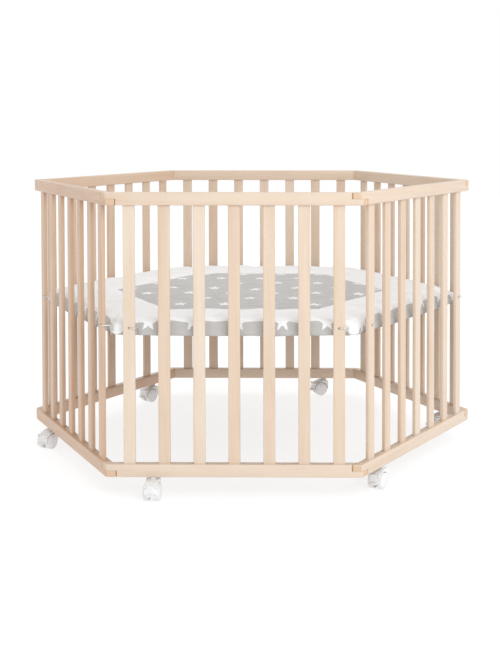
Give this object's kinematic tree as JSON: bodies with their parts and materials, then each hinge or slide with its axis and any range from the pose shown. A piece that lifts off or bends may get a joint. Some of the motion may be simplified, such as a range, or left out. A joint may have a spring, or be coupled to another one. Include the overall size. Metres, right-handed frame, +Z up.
{
  "type": "playpen",
  "caption": "Hexagonal slatted wooden playpen on braked twin-wheel castors, with a height-adjustable floor board and a padded insert.",
  "frame": {"origin": "middle of the footprint, on the ground under the castor wheels", "axes": "+Z up; the front panel faces -Y and two corners of the pen point along -X and +X"},
  "size_m": [1.187, 1.0752, 0.712],
  "materials": {
    "beech": "clear satin lacquer on light beech",
    "hardboard": "bare brown hardboard",
    "white_plastic": "glossy white moulded nylon",
    "zinc_steel": "zinc-plated steel",
    "cotton": "quilted printed cotton, grey and white"
  },
  "bodies": {
    "frame": {"castor_stem_back": "zinc_steel", "castor_stem_back_left": "zinc_steel", "castor_stem_back_right": "zinc_steel", "castor_stem_front": "zinc_steel", "castor_stem_front_left": "zinc_steel", "castor_stem_front_right": "zinc_steel", "slatted_rail_back": "beech", "slatted_rail_back_left": "beech", "slatted_rail_back_right": "beech", "slatted_rail_front": "beech", "slatted_rail_front_left": "beech", "slatted_rail_front_right": "beech", "top_rail_back": "beech", "top_rail_back_left": "beech", "top_rail_back_right": "beech", "top_rail_front": "beech", "top_rail_front_left": "beech", "top_rail_front_right": "beech"},
    "swivel_front": {"castor_hood_front": "white_plastic", "castor_axle_front": "zinc_steel"},
    "left_wheel_front": {"castor_wheel_left_front": "white_plastic"},
    "right_wheel_front": {"castor_wheel_right_front": "white_plastic"},
    "brake_front": {"castor_brake_front": "white_plastic"},
    "swivel_front_right": {"castor_hood_front_right": "white_plastic", "castor_axle_front_right": "zinc_steel"},
    "left_wheel_front_right": {"castor_wheel_left_front_right": "white_plastic"},
    "right_wheel_front_right": {"castor_wheel_right_front_right": "white_plastic"},
    "brake_front_right": {"castor_brake_front_right": "white_plastic"},
    "swivel_back_right": {"castor_hood_back_right": "white_plastic", "castor_axle_back_right": "zinc_steel"},
    "left_wheel_back_right": {"castor_wheel_left_back_right": "white_plastic"},
    "right_wheel_back_right": {"castor_wheel_right_back_right": "white_plastic"},
    "brake_back_right": {"castor_brake_back_right": "white_plastic"},
    "swivel_back": {"castor_hood_back": "white_plastic", "castor_axle_back": "zinc_steel"},
    "left_wheel_back": {"castor_wheel_left_back": "white_plastic"},
    "right_wheel_back": {"castor_wheel_right_back": "white_plastic"},
    "brake_back": {"castor_brake_back": "white_plastic"},
    "swivel_back_left": {"castor_hood_back_left": "white_plastic", "castor_axle_back_left": "zinc_steel"},
    "left_wheel_back_left": {"castor_wheel_left_back_left": "white_plastic"},
    "right_wheel_back_left": {"castor_wheel_right_back_left": "white_plastic"},
    "brake_back_left": {"castor_brake_back_left": "white_plastic"},
    "swivel_front_left": {"castor_hood_front_left": "white_plastic", "castor_axle_front_left": "zinc_steel"},
    "left_wheel_front_left": {"castor_wheel_left_front_left": "white_plastic"},
    "right_wheel_front_left": {"castor_wheel_right_front_left": "white_plastic"},
    "brake_front_left": {"castor_brake_front_left": "white_plastic"},
    "floor": {"floor_batten_back": "beech", "floor_batten_front": "beech", "floor_board_left": "hardboard", "floor_board_right": "hardboard", "floor_hook_back_left": "zinc_steel", "floor_hook_back_right": "zinc_steel", "floor_hook_front_left": "zinc_steel", "floor_hook_front_right": "zinc_steel", "floor_hook_left": "zinc_steel", "floor_hook_right": "zinc_steel", "floor_seam_strip": "beech", "padded_insert": "cotton"}
  },
  "joints": [
    {"name": "swivel_front", "type": "hinge", "parent": "frame", "child": "swivel_front", "pos_m": [-0.1885, -0.48969, 0.052], "axis": [0, 0, 1], "continuous": true},
    {"name": "roll_left_front", "type": "hinge", "parent": "swivel_front", "child": "left_wheel_front", "pos_m": [-0.17676, -0.5049, 0.02], "axis": [-0.9998, 0.0175, 0], "continuous": true},
    {"name": "roll_right_front", "type": "hinge", "parent": "swivel_front", "child": "right_wheel_front", "pos_m": [-0.20076, -0.50448, 0.02], "axis": [-0.9998, 0.0175, 0], "continuous": true},
    {"name": "brake_front", "type": "hinge", "parent": "swivel_front", "child": "brake_front", "pos_m": [-0.18911, -0.52476, 0.03684], "axis": [0.9998, -0.0175, 0], "range_deg": [0, 7]},
    {"name": "swivel_front_right", "type": "hinge", "parent": "frame", "child": "swivel_front_right", "pos_m": [0.34247, -0.4008, 0.052], "axis": [0, 0, 1], "continuous": true},
    {"name": "roll_left_front_right", "type": "hinge", "parent": "swivel_front_right", "child": "left_wheel_front_right", "pos_m": [0.34537, -0.41979, 0.02], "axis": [-0.866, 0.5, 0], "continuous": true},
    {"name": "roll_right_front_right", "type": "hinge", "parent": "swivel_front_right", "child": "right_wheel_front_right", "pos_m": [0.32458, -0.40779, 0.02], "axis": [-0.866, 0.5, 0], "continuous": true},
    {"name": "brake_front_right", "type": "hinge", "parent": "swivel_front_right", "child": "brake_front_right", "pos_m": [0.32494, -0.43117, 0.03684], "axis": [0.866, -0.5, 0], "range_deg": [0, 7]},
    {"name": "swivel_back_right", "type": "hinge", "parent": "frame", "child": "swivel_back_right", "pos_m": [0.53097, 0.10349, 0.052], "axis": [0, 0, 1], "continuous": true},
    {"name": "roll_left_back_right", "type": "hinge", "parent": "swivel_back_right", "child": "left_wheel_back_right", "pos_m": [0.52042, 0.08744, 0.02], "axis": [-0.309, 0.9511, 0], "continuous": true},
    {"name": "roll_right_back_right", "type": "hinge", "parent": "swivel_back_right", "child": "right_wheel_back_right", "pos_m": [0.513, 0.11027, 0.02], "axis": [-0.309, 0.9511, 0], "continuous": true},
    {"name": "brake_back_right", "type": "hinge", "parent": "swivel_back_right", "child": "brake_back_right", "pos_m": [0.49762, 0.09265, 0.03684], "axis": [0.309, -0.9511, 0], "range_deg": [0, 7]},
    {"name": "swivel_back", "type": "hinge", "parent": "frame", "child": "swivel_back", "pos_m": [0.1885, 0.51888, 0.052], "axis": [0, 0, 1], "continuous": true},
    {"name": "roll_left_back", "type": "hinge", "parent": "swivel_back", "child": "left_wheel_back", "pos_m": [0.17938, 0.50197, 0.02], "axis": [-0.3907, 0.9205, 0], "continuous": true},
    {"name": "roll_right_back", "type": "hinge", "parent": "swivel_back", "child": "right_wheel_back", "pos_m": [0.17, 0.52406, 0.02], "axis": [-0.3907, 0.9205, 0], "continuous": true},
    {"name": "brake_back", "type": "hinge", "parent": "swivel_back", "child": "brake_back", "pos_m": [0.15622, 0.50518, 0.03684], "axis": [0.3907, -0.9205, 0], "range_deg": [0, 7]},
    {"name": "swivel_back_left", "type": "hinge", "parent": "frame", "child": "swivel_back_left", "pos_m": [-0.34247, 0.42998, 0.052], "axis": [0, 0, 1], "continuous": true},
    {"name": "roll_left_back_left", "type": "hinge", "parent": "swivel_back_left", "child": "left_wheel_back_left", "pos_m": [-0.34259, 0.41077, 0.02], "axis": [-0.7771, 0.6293, 0], "continuous": true},
    {"name": "roll_right_back_left", "type": "hinge", "parent": "swivel_back_left", "child": "right_wheel_back_left", "pos_m": [-0.36124, 0.42588, 0.02], "axis": [-0.7771, 0.6293, 0], "continuous": true},
    {"name": "brake_back_left", "type": "hinge", "parent": "swivel_back_left", "child": "brake_back_left", "pos_m": [-0.36454, 0.40273, 0.03684], "axis": [0.7771, -0.6293, 0], "range_deg": [0, 7]},
    {"name": "swivel_front_left", "type": "hinge", "parent": "frame", "child": "swivel_front_left", "pos_m": [-0.53097, -0.0743, 0.052], "axis": [0, 0, 1], "continuous": true},
    {"name": "roll_left_front_left", "type": "hinge", "parent": "swivel_front_left", "child": "left_wheel_front_left", "pos_m": [-0.52644, -0.09297, 0.02], "axis": [-0.9063, 0.4226, 0], "continuous": true},
    {"name": "roll_right_front_left", "type": "hinge", "parent": "swivel_front_left", "child": "right_wheel_front_left", "pos_m": [-0.54819, -0.08283, 0.02], "axis": [-0.9063, 0.4226, 0], "continuous": true},
    {"name": "brake_front_left", "type": "hinge", "parent": "swivel_front_left", "child": "brake_front_left", "pos_m": [-0.5458, -0.10609, 0.03684], "axis": [0.9063, -0.4226, 0], "range_deg": [0, 7]},
    {"name": "floor_height", "type": "slide", "parent": "frame", "child": "floor", "axis": [0, 0, 1], "range_m": [-0.26, 0]}
  ]
}
